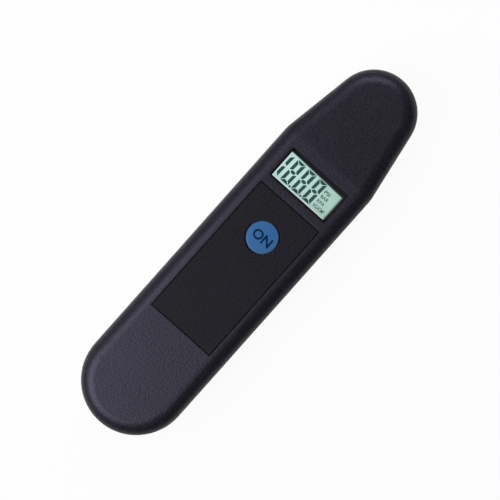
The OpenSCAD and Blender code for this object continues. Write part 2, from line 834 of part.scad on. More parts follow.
module battery_cover() {
    edge = 0.3;
    color([0.2, 0.19, 0.24])
        translate([battery_x, 0, 0])
            difference() {
                union() {
                    rotate_extrude()
                        polygon([
                            [0, cover_sink], [cover_d / 2 - edge, cover_sink],
                            [cover_d / 2, cover_sink + edge], [cover_d / 2, cover_sink + cover_t],
                            [hub_d / 2, cover_sink + cover_t], [hub_d / 2, cell_z], [0, cell_z]
                        ]);
                    for (k = [0:tab_count - 1])
                        sector(tab_root_r, tab_r, tab_z, cell_z,
                            tab_place(k) - tab_angle / 2, tab_place(k) + tab_angle / 2);
                }
                block(slot_l, slot_w, -cut, cover_sink + slot_depth);
            }
}

// Pan-head screw, head down, with a cross recess
module screw(d, head_d, head_h, seat_z, top_z) {
    slot = head_d / 6;
    difference() {
        union() {
            rod(head_d / 2, seat_z - head_h, seat_z);
            rod(d / 2, seat_z - head_h / 2, top_z);
        }
        for (a = [0, 90])
            rotate([0, 0, a])
                block(head_d - 2 * slot, slot, seat_z - head_h - cut, seat_z - head_h / 2);
    }
}

module case_screws() {
    color([0.55, 0.55, 0.57])
        at(case_screw_spots) screw(case_screw_d, case_head_d, case_head_h, case_seat_z, case_screw_top_z);
}

module board_screws() {
    color([0.6, 0.6, 0.62])
        at(board_screw_spots) screw(board_screw_d, board_head_d, board_head_h, board_z, board_screw_top_z);
}

front_shell();
back_shell();
face_panel();
on_button();
switch_plunger();
switch_body();
lcd_lens();
lcd_front_glass();
lcd_back_glass();
lcd_frame();
zebra_strips();
circuit_board();
driver_chip();
board_components();
pressure_sensor();
sensor_o_ring();
nozzle_body();
nozzle_nut();
valve_seal();
depressor_pin();
coin_cell();
positive_contact();
negative_contact();
battery_cover();
case_screws();
board_screws();
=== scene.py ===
import math

import bmesh
import bpy
from mathutils import Matrix, Vector
from mathutils.geometry import convex_hull_2d, intersect_point_line


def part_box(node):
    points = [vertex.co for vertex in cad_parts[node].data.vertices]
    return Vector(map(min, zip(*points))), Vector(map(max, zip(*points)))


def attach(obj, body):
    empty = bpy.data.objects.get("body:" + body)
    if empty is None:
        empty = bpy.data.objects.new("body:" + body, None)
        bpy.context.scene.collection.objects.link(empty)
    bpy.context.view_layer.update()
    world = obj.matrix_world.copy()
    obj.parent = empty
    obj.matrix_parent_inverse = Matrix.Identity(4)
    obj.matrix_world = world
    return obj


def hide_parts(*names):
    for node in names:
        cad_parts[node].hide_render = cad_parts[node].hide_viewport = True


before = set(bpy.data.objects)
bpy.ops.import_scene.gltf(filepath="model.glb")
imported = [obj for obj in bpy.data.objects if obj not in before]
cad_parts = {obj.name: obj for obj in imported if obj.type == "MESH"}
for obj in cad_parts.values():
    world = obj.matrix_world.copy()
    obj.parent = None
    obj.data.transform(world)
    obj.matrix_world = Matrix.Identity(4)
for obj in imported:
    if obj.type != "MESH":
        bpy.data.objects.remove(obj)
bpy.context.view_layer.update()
mm = 0.001


# Back shell: the lower half of the case, moulded in charcoal plastic with a spark-eroded grain.
# It carries the battery well, the screw posts and the raised underside of the nose, and every
# other piece is fitted into it or closed in by it.

class Wire:
    """One output socket of a material's nodes. Arithmetic on it adds Math nodes."""

    def __init__(self, socket):
        self.socket = socket
        self.tree = socket.id_data

    def node(self, kind, settings, inputs, output=0):
        """A new node, set up first and then fed with numbers, colours or wires."""
        made = self.tree.nodes.new(kind)
        for name, value in settings.items():
            setattr(made, name, value)
        for name, value in inputs.items():
            if isinstance(value, Wire):
                self.tree.links.new(value.socket, made.inputs[name])
            else:
                made.inputs[name].default_value = value
        return Wire(made.outputs[output])

    def math(self, operation, a, b=0.0):
        return self.node("ShaderNodeMath", {"operation": operation}, {0: a, 1: b})

    def __add__(self, other):
        return self.math("ADD", self, other)

    def __sub__(self, other):
        return self.math("SUBTRACT", self, other)

    def __rsub__(self, other):
        return self.math("SUBTRACT", other, self)

    def __mul__(self, other):
        return self.math("MULTIPLY", self, other)

    def __gt__(self, other):
        return self.math("GREATER_THAN", self, other)

    def __lt__(self, other):
        return self.math("LESS_THAN", self, other)

    def __abs__(self):
        return self.math("ABSOLUTE", self)

    def at_least(self, other):
        return self.math("MAXIMUM", self, other)

    def at_most(self, other):
        return self.math("MINIMUM", self, other)

    def sine(self):
        return self.math("SINE", self)

    __radd__ = __add__
    __rmul__ = __mul__

    def to(self, shader, name):
        self.tree.links.new(self.socket, shader.inputs[name])


def srgb(red, green, blue):
    """A colour as it is seen, 0 to 255, in the shader's linear values."""
    seen = [c / 255 for c in (red, green, blue)]
    return (*[((c + 0.055) / 1.055) ** 2.4 if c > 0.04 else c / 12.92 for c in seen], 1.0)


def start_finish(name, fixed):
    """A new material with its fixed values set, its shader, and the piece's own coordinates."""
    finish = bpy.data.materials.new(name)
    finish.use_nodes = True
    nodes = finish.node_tree.nodes
    shader = nodes["Principled BSDF"]
    for socket, value in fixed.items():
        shader.inputs[socket].default_value = value
    return finish, shader, Wire(nodes.new("ShaderNodeTexCoord").outputs["Object"])


def speckle(place, scale, detail=2.0):
    """Noise from 0 to 1, with scale in spots per metre."""
    return place.node("ShaderNodeTexNoise", {}, {"Vector": place, "Scale": scale, "Detail": detail})


def spread(noise, gain):
    """Noise with more contrast about its middle."""
    return 0.5 + gain * (noise - 0.5)


def stretched(place, along):
    """The same coordinates drawn out, for brushed and drawn marks."""
    return place.node("ShaderNodeVectorMath", {"operation": "MULTIPLY"}, {0: place, 1: along})


def tint(share, low, high):
    """One colour turning into another."""
    return share.node("ShaderNodeMix", {"data_type": "RGBA"}, {0: share, 6: low, 7: high}, 2)


def relief(height, depth, strength=1.0):
    """Surface relief from a height that runs from 0 to 1, with its depth in metres."""
    return height.node(
        "ShaderNodeBump", {}, {"Strength": strength, "Distance": depth, "Height": height}
    )


def add_piece(name, shape, finish, body, node=None):
    """A mesh from a finished shape, riding on a body, in place of a solid if it stands for one."""
    mesh = bpy.data.meshes.new(name)
    shape.to_mesh(mesh)
    shape.free()
    for layer in ("custom_normal", "UVMap"):
        if layer in mesh.attributes:
            mesh.attributes.remove(mesh.attributes[layer])
    mesh.materials.clear()
    mesh.materials.append(finish)
    piece = bpy.data.objects.new(name, mesh)
    bpy.context.collection.objects.link(piece)
    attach(piece, body)
    if node:
        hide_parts(node)
    return piece


def even_out(shape, sharp):
    """Smooth shading, broken at edges that turn more than the given angle."""
    for face in shape.faces:
        face.smooth = True
        face.material_index = 0
    for edge in shape.edges:
        edge.smooth = edge.calc_face_angle(math.pi) < math.radians(sharp)


def soften(piece, width):
    """A small moulded or turned radius on the hard edges, with clean shading beside it."""
    bevel = piece.modifiers.new("edges", "BEVEL")
    bevel.limit_method = "ANGLE"
    bevel.angle_limit = math.radians(40)
    bevel.width = width
    bevel.segments = 2
    bevel.use_clamp_overlap = True
    weighted = piece.modifiers.new("shading", "WEIGHTED_NORMAL")
    weighted.keep_sharp = True


def solid_copy(node):
    """A solid's mesh with its loose triangles joined."""
    shape = bmesh.new()
    shape.from_mesh(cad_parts[node].data)
    bmesh.ops.remove_doubles(shape, verts=shape.verts, dist=0.002 * mm)
    return shape


def dress(node, finish, body, sharp=33, radius=0.0, shape=None):
    """A smoothed copy of a solid, or the copy that is given, which takes the solid's place."""
    shape = shape or solid_copy(node)
    bmesh.ops.dissolve_limit(
        shape, angle_limit=math.radians(0.4), verts=shape.verts, edges=shape.edges
    )
    even_out(shape, sharp)
    piece = add_piece(node + "_finish", shape, finish, body, node)
    soften(piece, radius)
    return piece


case_plastic, shader, place = start_finish(
    "case_plastic", {"Specular IOR Level": 0.34, "Specular Tint": (0.74, 0.7, 1.0, 1.0)}
)
cloud = speckle(place, 55, 3)
pebble = spread(speckle(place, 1350, 2.5), 2.2)
tint(0.35 * cloud + 0.65 * pebble, srgb(13, 12, 16), srgb(31, 30, 37)).to(shader, "Base Color")
(0.36 + 0.08 * pebble + 0.05 * cloud).to(shader, "Roughness")
relief(pebble, 0.05 * mm, 0.6).to(shader, "Normal")

dress("back_shell", case_plastic, "gauge", radius=0.12 * mm)


# Valve nozzle: a turned brass body pushed up through the nose, clamped inside by a hexagon nut.
# A rubber washer in its bore seals on the tyre valve, and a drilled disc behind the washer
# carries the pin that opens the valve.

nozzle_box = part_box("nozzle_body")
nozzle_axis = Vector(((nozzle_box[0].x + nozzle_box[1].x) / 2, 0, 0))


def from_axis(place, axis):
    """Distance from an upright axis, for turned and drawn pieces."""
    off = place.node("ShaderNodeVectorMath", {"operation": "SUBTRACT"}, {0: place, 1: axis})
    flat = off.node("ShaderNodeVectorMath", {"operation": "MULTIPLY"}, {0: off, 1: (1, 1, 0)})
    return flat.node("ShaderNodeVectorMath", {"operation": "LENGTH"}, {0: flat}, 1)


def parts_of(place):
    """The three coordinates as separate numbers."""
    return [place.node("ShaderNodeSeparateXYZ", {}, {0: place}, i) for i in range(3)]


brass, shader, place = start_finish("brass", {"Metallic": 1.0})
turning_marks = 14000
lathe = ((from_axis(place, nozzle_axis) + parts_of(place)[2]) * turning_marks).sine()
lathe = 0.5 + 0.5 * lathe
tarnish = speckle(place, 420, 4)
tint(tarnish, srgb(214, 178, 106), srgb(178, 138, 74)).to(shader, "Base Color")
(0.22 + 0.2 * tarnish + 0.06 * lathe).to(shader, "Roughness")
relief(lathe + 0.4 * tarnish, 0.006 * mm, 0.7).to(shader, "Normal")

dress("nozzle_body", brass, "gauge", radius=0.08 * mm)
dress("nozzle_nut", brass, "gauge", radius=0.08 * mm)
dress("depressor_pin", brass, "gauge", radius=0.05 * mm)

black_rubber, shader, place = start_finish("black_rubber", {"Specular IOR Level": 0.35})
bloom = speckle(place, 900, 3)
flecks = speckle(place, 9000, 2)
tint(bloom, srgb(24, 24, 26), srgb(42, 42, 44)).to(shader, "Base Color")
(0.58 + 0.2 * bloom).to(shader, "Roughness")
relief(flecks, 0.02 * mm, 0.5).to(shader, "Normal")

dress("valve_seal", black_rubber, "gauge", radius=0.08 * mm)


# Pressure sensor: a white ceramic block soldered under the board, whose neck presses an O-ring
# into the groove on top of the nozzle, so that the air in the tyre reaches only the sensor.

sensor_ceramic, shader, place = start_finish("sensor_ceramic", {"Specular IOR Level": 0.4})
fired = speckle(place, 2600, 3)
stain = speckle(place, 260, 3)
tint(stain, srgb(224, 221, 210), srgb(203, 198, 184)).to(shader, "Base Color")
(0.5 + 0.22 * fired).to(shader, "Roughness")
relief(fired, 0.02 * mm, 0.5).to(shader, "Normal")

dress("pressure_sensor", sensor_ceramic, "gauge", radius=0.1 * mm)
dress("sensor_o_ring", black_rubber, "gauge", sharp=50, radius=0.03 * mm)


# Circuit board: green solder-masked laminate with copper tracks that show through the mask.
# It hangs from the front shell's posts and carries all the electronics.

board_laminate, shader, place = start_finish("board_laminate", {"Coat Weight": 0.25})
glass_threads = 7000
track_rows = 3600
across, along, _ = parts_of(place)
weave = (across * glass_threads).sine() * (along * glass_threads).sine()
track = (along * track_rows + 9 * speckle(place, 90, 1)).sine()
copper = (track > 0.45) * (speckle(place, 130, 0) > 0.48)
mask = tint(0.5 + 0.5 * weave, srgb(14, 78, 42), srgb(20, 90, 50))
tint(copper, mask, srgb(44, 124, 66)).to(shader, "Base Color")
(0.3 + 0.12 * speckle(place, 1500, 2)).to(shader, "Roughness")
relief(copper + 0.15 * weave, 0.02 * mm, 0.6).to(shader, "Normal")

dress("circuit_board", board_laminate, "gauge", radius=0.05 * mm)


# Driver chip: a square package in black moulding compound, soldered down by tinned leads on
# all four sides. The leads are the low strip that stands out round the body.

board_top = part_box("circuit_board")[1].z
lead_h = 0.21 * mm
chip_plastic, shader, place = start_finish("chip_plastic", {"Specular IOR Level": 0.45})
matt = speckle(place, 5200, 3)
tinned = parts_of(place)[2] < board_top + lead_h
tint(tinned, tint(matt, srgb(26, 26, 28), srgb(44, 44, 46)), srgb(186, 188, 192)).to(
    shader, "Base Color"
)
(0.62 + 0.14 * matt - 0.3 * tinned).to(shader, "Roughness")
(0.95 * tinned).to(shader, "Metallic")
relief(matt, 0.02 * mm, 0.5).to(shader, "Normal")

dress("driver_chip", chip_plastic, "gauge", radius=0.04 * mm)


# Small parts on the board: two rows of ceramic chip parts with tinned ends, and the crystal
# in its drawn steel can between them. All are soldered flat.

parts_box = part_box("board_components")
part_pitch = 2.4 * mm
part_half = 0.8 * mm
bare_half = 0.5 * mm
can_half = 1.3 * mm
component_ceramic, shader, place = start_finish("component_ceramic", {"Specular IOR Level": 0.5})
across, along, _ = parts_of(place)
row = (across - (parts_box[1].x - part_half + part_pitch / 2)) * (1 / part_pitch)
end = abs(row - row.math("FLOOR", row) - 0.5)
metal = (abs(along) < can_half).at_least(end > bare_half / part_pitch)
sinter = speckle(place, 4200, 2)
tint(metal, tint(sinter, srgb(168, 132, 88), srgb(140, 106, 68)), srgb(192, 194, 197)).to(
    shader, "Base Color"
)
(0.55 - 0.28 * metal + 0.1 * sinter).to(shader, "Roughness")
(0.9 * metal).to(shader, "Metallic")
relief(sinter, 0.015 * mm, 0.4).to(shader, "Normal")

dress("board_components", component_ceramic, "gauge", radius=0.05 * mm)


# Tact switch: a black moulded base under a plated steel cover, with bent legs soldered to the
# board. Its black plunger stands up through the cover and is pressed by the button.

switch_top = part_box("switch_body")[1].z
cover_t = 0.35 * mm
leg_h = 0.26 * mm
switch_metal, shader, place = start_finish("switch_metal", {"Specular IOR Level": 0.5})
up = parts_of(place)[2]
plated = (up > switch_top - cover_t).at_least(up < board_top + leg_h)
brushed = speckle(stretched(place, (1, 12, 1)), 1400, 2)
tint(plated, srgb(34, 34, 36), tint(brushed, srgb(206, 208, 211), srgb(176, 178, 182))).to(
    shader, "Base Color"
)
plated.to(shader, "Metallic")
(0.55 - 0.3 * plated + 0.12 * brushed).to(shader, "Roughness")
relief(brushed, 0.006 * mm, 0.5).to(shader, "Normal")

dress("switch_body", switch_metal, "gauge", radius=0.08 * mm)
dress("switch_plunger", chip_plastic, "button", radius=0.05 * mm)


# Display seat: a white moulded frame on the board that locates the display, and two strips of
# layered conductive rubber that join the glass to the board by pressure alone.

frame_plastic, shader, place = start_finish("frame_plastic", {"Specular IOR Level": 0.45})
satin = speckle(place, 2800, 2)
dust = speckle(place, 160, 3)
tint(dust, srgb(226, 225, 219), srgb(206, 204, 196)).to(shader, "Base Color")
(0.48 + 0.14 * satin).to(shader, "Roughness")
relief(satin, 0.02 * mm, 0.4).to(shader, "Normal")

dress("lcd_frame", frame_plastic, "gauge", radius=0.1 * mm)

layer_pitch = 0.36 * mm
contact_rubber, shader, place = start_finish("contact_rubber", {"Specular IOR Level": 0.3})
along = parts_of(place)[1]
layer = (along * (2 * math.pi / layer_pitch)).sine() > 0
grit = speckle(place, 6000, 2)
tint(layer, srgb(40, 40, 43), srgb(152, 156, 162)).to(shader, "Base Color")
(0.6 + 0.2 * grit).to(shader, "Roughness")
relief(layer + grit, 0.01 * mm, 0.5).to(shader, "Normal")

dress("zebra_strips", contact_rubber, "gauge", radius=0.08 * mm)


# Display cell: two glass plates with the liquid crystal between them. Its field is given mostly as a
# glow of its own colour, painted light that stands in for the light it reflects and cancels the shadow
# of the window's walls, so that the whole cell reads as an even grey-green field, painted darker at
# its lower end.

glass_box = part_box("lcd_front_glass")
field_x = (21.8 * mm, 31.4 * mm)
field_y = (-10.39 * mm, 10.68 * mm)
painted_light_reach = 0.5 * mm
fade_line_x = 31.05 * mm
fade_line_taper = 0.025
fade_reach_low = 0.75 * mm
fade_reach_nose = 0.4 * mm
display_glass, shader, place = start_finish(
    "display_glass", {"Specular IOR Level": 0.2, "Coat Weight": 0.1, "Emission Strength": 0.85}
)
across, along, _ = parts_of(place)
# Painted shade: the field is darker towards its lower end, where less light falls.
shade_to_lower_end = (field_y[1] - along) * (1 / (field_y[1] - field_y[0]))
pearl = speckle(place, 2400, 2)
field = tint(shade_to_lower_end, srgb(200, 236, 235), srgb(168, 201, 186))
field = tint(0.25 * pearl, field, srgb(206, 236, 232))
# Painted light: the field is made brighter along its rear and upper edges, which cancels the shadow
# that the window's walls cast there.
from_rear = (field_x[0] + painted_light_reach - across) * (1 / painted_light_reach)
from_top = (along + painted_light_reach - field_y[1]) * (1 / painted_light_reach)
painted_edge_light = from_rear.at_least(from_top).at_least(0.0)
field = tint(0.8 * painted_edge_light, field, srgb(236, 255, 250))
# The field is dimmed over a short fade at its lower end and at the nose side, where the fade line runs
# aslant.
lower_fade = (along - field_y[0]) * (1 / fade_reach_low)
nose_fade = (fade_line_x + fade_line_taper * along - across) * (1 / fade_reach_nose)
unfaded = lower_fade.at_most(nose_fade).at_most(1.0)
tint(unfaded, srgb(24, 29, 29), field).to(shader, "Emission Color")
tint(0.2 * unfaded, srgb(12, 14, 14), field).to(shader, "Base Color")
(0.3 + 0.1 * pearl).to(shader, "Roughness")
relief(pearl, 0.004 * mm, 0.4).to(shader, "Normal")

dress("lcd_back_glass", display_glass, "gauge", radius=0.06 * mm)
dress("lcd_front_glass", display_glass, "gauge", radius=0.06 * mm)


# Segments: three and a half slanted seven-segment figures, their points and the unit legends,
# all switched on as when the gauge wakes. They are the dark state of the liquid crystal, and they
# glow faintly as painted light, like the field round them.

figure_w = 3.22 * mm
figure_h = 8.2 * mm
bar = 1.05 * mm
rail = 0.95 * mm
tip = 0.1 * mm
split = 0.18 * mm
waist = 0.27 * mm
slant = 0.05
figure_pitch = 4.37 * mm
first_figure = Vector((22.4 * mm, 8.1 * mm + figure_pitch, glass_box[1].z))
film = 0.02 * mm
half = figure_h / 2
mid = bar / 2 + 0.12 * mm
point_r = 0.34 * mm
point_spot = Vector((0.28 * mm, 0.55 * mm, 0))

crystal_ink, shader, place = start_finish(
    "crystal_ink", {"Specular IOR Level": 0.15, "Emission Strength": 0.9}
)
drive = speckle(place, 1800, 2)
# Painted light: a faint glow in the ink's own colour.
tint(drive, srgb(32, 62, 61), srgb(44, 76, 75)).to(shader, "Emission Color")
tint(drive, srgb(14, 28, 28), srgb(20, 36, 36)).to(shader, "Base Color")
(0.4 + 0.15 * drive).to(shader, "Roughness")
relief(drive, 0.003 * mm, 0.4).to(shader, "Normal")

lower_left = [
    (0, tip), (bar, bar + tip), (bar, half - bar / 2 - waist),
    (bar / 2, half - waist), (0, half - waist),
]
base = [
    (split, 0), (figure_w - split, 0), (figure_w - rail - split, rail), (rail + split, rail)
]
middle = [
    (mid, half), (mid + bar / 2, half + bar / 2),
    (figure_w - mid - bar / 2, half + bar / 2), (figure_w - mid, half),
    (figure_w - mid - bar / 2, half - bar / 2), (mid + bar / 2, half - bar / 2),
]


def flipped(bars):
    """The same bars in the upper half of the figure."""
    return [[(u, figure_h - v) for u, v in points] for points in bars]


right_bars = [[(figure_w - u, v) for u, v in lower_left]]
right_bars += flipped(right_bars)
whole_figure = right_bars + [lower_left, base] + flipped([lower_left, base]) + [middle]

shape = bmesh.new()
for place_in_row, bars in enumerate((right_bars, whole_figure, whole_figure, whole_figure)):
    figure = first_figure - Vector((0, figure_pitch * place_in_row, 0))
    for points in bars:
        corners = [figure + Vector((v, -u - slant * v, 0)) for u, v in points]
        shape.faces.new([shape.verts.new(corner) for corner in corners])
for place_in_row in (2, 3):
    spot = first_figure + point_spot - Vector((0, figure_pitch * place_in_row, 0))
    bmesh.ops.create_circle(
        shape, cap_ends=True, radius=point_r, segments=20, matrix=Matrix.Translation(spot)
    )


def lettering(words, height, weight=0.0):
    """Plain capitals as a flat mesh, with the capitals' height given, from the left at the origin."""
    curve = bpy.data.curves.new(words, "FONT")
    curve.body = words
    curve.offset = weight
    writing = bpy.data.objects.new(words, curve)
    bpy.context.collection.objects.link(writing)
    bpy.context.view_layer.update()
    drawn = writing.evaluated_get(bpy.context.evaluated_depsgraph_get())
    mesh = bpy.data.meshes.new_from_object(drawn)
    bpy.data.objects.remove(writing)
    capital = 0.69 + 2 * weight
    mesh.transform(Matrix.Scale(height / capital, 4))
    return mesh


def print_film(shape, thickness):
    """Flat outlines turned face up and given a printed film's thickness."""
    for face in shape.faces:
        if face.normal.z < 0:
            face.normal_flip()
    top = bmesh.ops.extrude_face_region(shape, geom=list(shape.faces), use_keep_orig=True)
    raised = [v for v in top["geom"] if isinstance(v, bmesh.types.BMVert)]
    bmesh.ops.translate(shape, vec=(0, 0, thickness), verts=raised)
    bmesh.ops.recalc_face_normals(shape, faces=shape.faces)


# Letters run along -Y with their tops towards the nose, as the figures do.
reading_turn = Matrix.Rotation(math.radians(-90), 4, "Z")
legend_start = -4.75 * mm
legend_h = 1.14 * mm
legend_weight = 0.018
legends = (("PSI", 28.12, 2.05), ("BAR", 26.44, 2.75), ("KPA", 24.7, 2.7), ("KG/CM²", 22.92, 4.2))
for words, line, run in legends:
    legend = lettering(words, legend_h, legend_weight)
    ends = [v.co.x for v in legend.vertices]
    fitted = Matrix.Scale(run * mm / (max(ends) - min(ends)), 4, (1, 0, 0))
    spot = Vector((line * mm, legend_start, glass_box[1].z))
    legend.transform(Matrix.Translation(spot) @ reading_turn @ fitted)
    shape.from_mesh(legend)
bmesh.ops.recalc_face_normals(shape, faces=shape.faces)
print_film(shape, film)
add_piece("display_segments", shape, crystal_ink, "gauge")


# Display mask: the black border printed on the cell, which hides its seal and contact edges.
# It is wider at the nose side and at the lower end, so the field sits off centre in the window.
# There it is painted pale towards its outer edge, in the case's colour, as painted light of the lit
# window walls.

lit_wall_nose = (field_x[1] + 0.35 * mm, 0.5 * mm)
lit_wall_low = (field_y[0] - 0.05 * mm, 0.4 * mm)
mask_ink, shader, place = start_finish("mask_ink", {"Specular IOR Level": 0.06})
print_grain = speckle(place, 3000, 2)
across, along, _ = parts_of(place)
# Painted light: towards the outer edge at the nose side and the lower end the mask turns
# case-coloured, standing in for the lit walls of the window.
to_nose = (across - lit_wall_nose[0]) * (1 / lit_wall_nose[1])
to_low = (lit_wall_low[0] - along) * (1 / lit_wall_low[1])
lit_wall_share = to_nose.at_least(to_low).at_least(0.0).at_most(1.0)
dark = tint(print_grain, srgb(10, 12, 14), srgb(20, 23, 25))
tint(lit_wall_share, dark, srgb(36, 34, 42)).to(shader, "Base Color")
(0.6 + 0.15 * print_grain).to(shader, "Roughness")
relief(print_grain, 0.004 * mm, 0.4).to(shader, "Normal")


def border(opening_x, opening_y, low, high):
    """A flat rectangular border: a plate between two corners, with an opening."""
    shape = bmesh.new()
    size = high - low
    bmesh.ops.create_cube(
        shape, size=1, matrix=Matrix.Translation((low + high) / 2) @ Matrix.Diagonal((*size, 1))
    )
    for axis, cuts in enumerate((opening_x, opening_y)):
        for at in cuts:
            spot, normal = Vector(), Vector()
            spot[axis] = at
            normal[axis] = 1
            bmesh.ops.bisect_plane(
                shape, geom=[*shape.verts, *shape.edges, *shape.faces], plane_co=spot, plane_no=normal
            )
    inside = [
        f for f in shape.faces
        if opening_x[0] < f.calc_center_median().x < opening_x[1]
        and opening_y[0] < f.calc_center_median().y < opening_y[1]
    ]
    rims = [e for f in inside for e in f.edges]
    upper = [e for e in rims if e.verts[0].co.z > (low.z + high.z) / 2]
    lower = [e for e in rims if e.verts[0].co.z < (low.z + high.z) / 2]
    bmesh.ops.delete(shape, geom=inside, context="FACES_ONLY")
    bmesh.ops.bridge_loops(shape, edges=upper + lower)
    bmesh.ops.recalc_face_normals(shape, faces=shape.faces)
    return shape


edge_gap = Vector((0.1 * mm, 0.1 * mm, 0))
mask_low = Vector((glass_box[0].x, glass_box[0].y, glass_box[1].z)) + edge_gap
mask_high = glass_box[1] - edge_gap + Vector((0, 0, film))
shape = border(field_x, field_y, mask_low, mask_high)
add_piece("display_mask", shape, mask_ink, "gauge")


# Lens: the polished clear window over the display, moulded with a step that fills the opening
# and a black printed flange under the shell. It starts just over the printed films, and a line of
# black bond fills the opening's edge round it, which also paints the shade of that gap as a dark line.

window_size = (10.7 * mm, 22.0 * mm)
flange_top = 18.0 * mm
lens_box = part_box("lcd_lens")
lens_centre = (lens_box[0] + lens_box[1]) / 2
clear_plastic, shader, place = start_finish(
    "clear_plastic", {"Base Color": (0.03, 0.04, 0.04, 1.0), "Specular IOR Level": 0.5}
)
scuff = speckle(stretched(place, (1, 6, 1)), 700, 3)
(0.05 + 0.1 * scuff).to(shader, "Roughness")
across, along, _ = parts_of(place)
window = (abs(across - lens_centre.x) < window_size[0] / 2 + film) * (
    abs(along) < window_size[1] / 2 + film
)
(1 - window * (0.965 - 0.05 * scuff)).to(shader, "Alpha")
relief(scuff, 0.003 * mm, 0.3).to(shader, "Normal")

shape = bmesh.new()
lens_low = glass_box[1].z + 2 * film
size = Vector((lens_box[1].x - lens_box[0].x, lens_box[1].y - lens_box[0].y, flange_top - lens_low))
bmesh.ops.create_cube(
    shape,
    size=1,
    matrix=Matrix.Translation((lens_centre.x, lens_centre.y, (lens_low + flange_top) / 2))
    @ Matrix.Diagonal((*size, 1)),
)
upper = [f for f in shape.faces if f.normal.z > 0.9]
bmesh.ops.inset_region(shape, faces=upper, thickness=(size.x - window_size[0]) / 2)
step = bmesh.ops.extrude_face_region(shape, geom=upper)
raised = [v for v in step["geom"] if isinstance(v, bmesh.types.BMVert)]
bmesh.ops.delete(shape, geom=upper, context="FACES")
bmesh.ops.translate(shape, vec=(0, 0, lens_box[1].z - flange_top), verts=raised)
bmesh.ops.recalc_face_normals(shape, faces=shape.faces)
even_out(shape, 30)
lens = add_piece("lcd_lens_finish", shape, clear_plastic, "gauge", "lcd_lens")
soften(lens, 0.12 * mm)

# Black bond: glue in the gaps round the lens and the panel, and also painted shade, which darkens
# those gaps to dark lines.
shade_bond_black, shader, place = start_finish("shade_bond_black", {"Specular IOR Level": 0.1})
lumps = speckle(place, 1600, 2)
tint(lumps, srgb(4, 4, 5), srgb(10, 10, 12)).to(shader, "Base Color")
(0.6 + 0.2 * lumps).to(shader, "Roughness")
relief(lumps, 0.03 * mm, 0.5).to(shader, "Normal")

face_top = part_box("face_panel")[1].z
step_half = Vector((window_size[0] / 2, window_size[1] / 2, 0))
bond_width = Vector((0.3 * mm, 0.3 * mm, 0))
bond_low = lens_box[1].z - 0.2 * mm
bond_high = face_top - 0.02 * mm
step_low = Vector((lens_centre.x, lens_centre.y, bond_low)) - step_half
step_high = Vector((lens_centre.x, lens_centre.y, bond_high)) + step_half
shape = border(
    (step_low.x, step_high.x), (step_low.y, step_high.y), step_low - bond_width, step_high + bond_width
)
add_piece("lens_bond_shade", shape, shade_bond_black, "gauge")


# Front shell: the upper half of the case, in the same grained plastic, screwed on from behind.
# Its face holds the panel's recess, the button hole and the display window. Its rolled edge and the
# window's rear and upper rims are eased to be wider than they are deep.

edge_depth = 4.2 * mm
edge_width = 4.8 * mm
side_lean = 0.2 * mm
ease_from = -68 * mm
ease_to = -54 * mm
crease_start = 35.8 * mm
crease_run = 1.8 * mm
nose_slope = 0.09009
rim_rear = 21.3 * mm
rim_nose = 32.7 * mm
rim_side = 11.3 * mm
rim_ease = 0.4 * mm
touch = 0.02 * mm


def face_height(x):
    """Height of the face at x, which drops past the soft crease where the nose begins."""
    run = x - crease_start
    drop = run - crease_run / 2 if run > crease_run else max(run, 0) ** 2 / (2 * crease_run)
    return face_top - nose_slope * drop


shape = solid_copy("front_shell")
plan = [v.co.xy for v in shape.verts]
outline = [plan[i] for i in convex_hull_2d(plan)]
sides = list(zip(outline, outline[1:] + outline[:1]))
for vert in shape.verts:
    feet = (intersect_point_line(vert.co.xy, *ends) for ends in sides)
    out = min((foot - vert.co.xy for foot, share in feet), key=lambda step: step.length)
    inset = out.length - side_lean
    height = face_height(vert.co.x)
    if 0 < inset < edge_depth + touch:
        rolled = edge_depth - math.sqrt(max(edge_depth**2 - (edge_depth - inset) ** 2, 0))
        if abs(height - vert.co.z - rolled) < 4 * touch:
            share = min(max((vert.co.x - ease_from) / (ease_to - ease_from), 0), 1)
            vert.co.xy -= out.normalized() * inset * share * (edge_width / edge_depth - 1)
            vert.co.z += face_height(vert.co.x) - height
for vert in shape.verts:
    if abs(vert.co.z - face_top) < touch / 2:
        if abs(vert.co.x - rim_rear) < touch and abs(vert.co.y) < rim_side + touch:
            vert.co.x -= rim_ease
        if abs(vert.co.y - rim_side) < touch and rim_rear - 0.5 * mm < vert.co.x < rim_nose:
            vert.co.y += rim_ease
dress("front_shell", case_plastic, "gauge", radius=0.06 * mm, shape=shape)


# Face panel: a thin plate glued flush into its recess, in a darker and more neutral plastic
# with a drier grain than the case. Its corners are square and it is left bare. A black bond sheet
# lies in the gap round it as painted shade, which darkens the gap to a line.

panel_film, shader, place = start_finish("panel_film", {"Specular IOR Level": 0.1})
cloud = speckle(place, 70, 3)
grain = spread(speckle(place, 1400, 3), 3.2)
tint(0.3 * cloud + 0.7 * grain, srgb(10, 9, 13), srgb(29, 28, 37)).to(shader, "Base Color")
(0.5 + 0.18 * grain).to(shader, "Roughness")
relief(grain, 0.05 * mm, 0.7).to(shader, "Normal")

dress("face_panel", panel_film, "gauge", radius=0.02 * mm)

panel_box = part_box("face_panel")
panel_gap = Vector((0.35 * mm, 0.35 * mm, 0))
bond_h = 0.12 * mm
bond_top = Vector((panel_box[1].x, panel_box[1].y, panel_box[0].z + bond_h))
shape = border(
    (panel_box[0].x, panel_box[1].x), (panel_box[0].y, panel_box[1].y),
    panel_box[0] - panel_gap, bond_top + panel_gap,
)
add_piece("panel_bond_shade", shape, shade_bond_black, "gauge")


# Button: a blue moulded cap with a crowned face and a rounded rim, held under the shell by its
# flange. It slides straight in and presses the switch's plunger.

